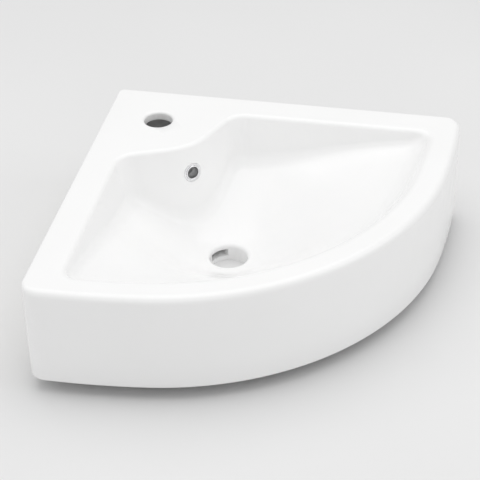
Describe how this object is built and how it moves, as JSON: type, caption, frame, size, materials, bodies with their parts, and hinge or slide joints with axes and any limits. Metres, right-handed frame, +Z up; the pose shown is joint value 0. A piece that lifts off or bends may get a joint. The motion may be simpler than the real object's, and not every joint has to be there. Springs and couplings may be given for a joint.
{
  "type": "corner basin",
  "caption": "Quarter-round wall-hung corner basin in white glazed china, with a flat tap deck in the corner, a dished bowl, an overflow and a curved apron.",
  "frame": {"origin": "Where the two room walls meet, level with the apron's lower edge.", "axes": "+Y points into the back wall, -X into the left wall, +Z up. The basin lies at +X and -Y and mirrors itself across the upright plane through the corner's diagonal."},
  "size_m": [0.45, 0.45, 0.145],
  "materials": {
    "china": "gloss",
    "trim": "polished",
    "sleeve": "matte",
    "bush": "satin"
  },
  "bodies": {
    "root": {"basin_body": "china", "overflow_ring": "trim", "overflow_sleeve": "sleeve", "fixing_bush_back": "bush", "fixing_bush_left": "bush"}
  },
  "joints": []
}
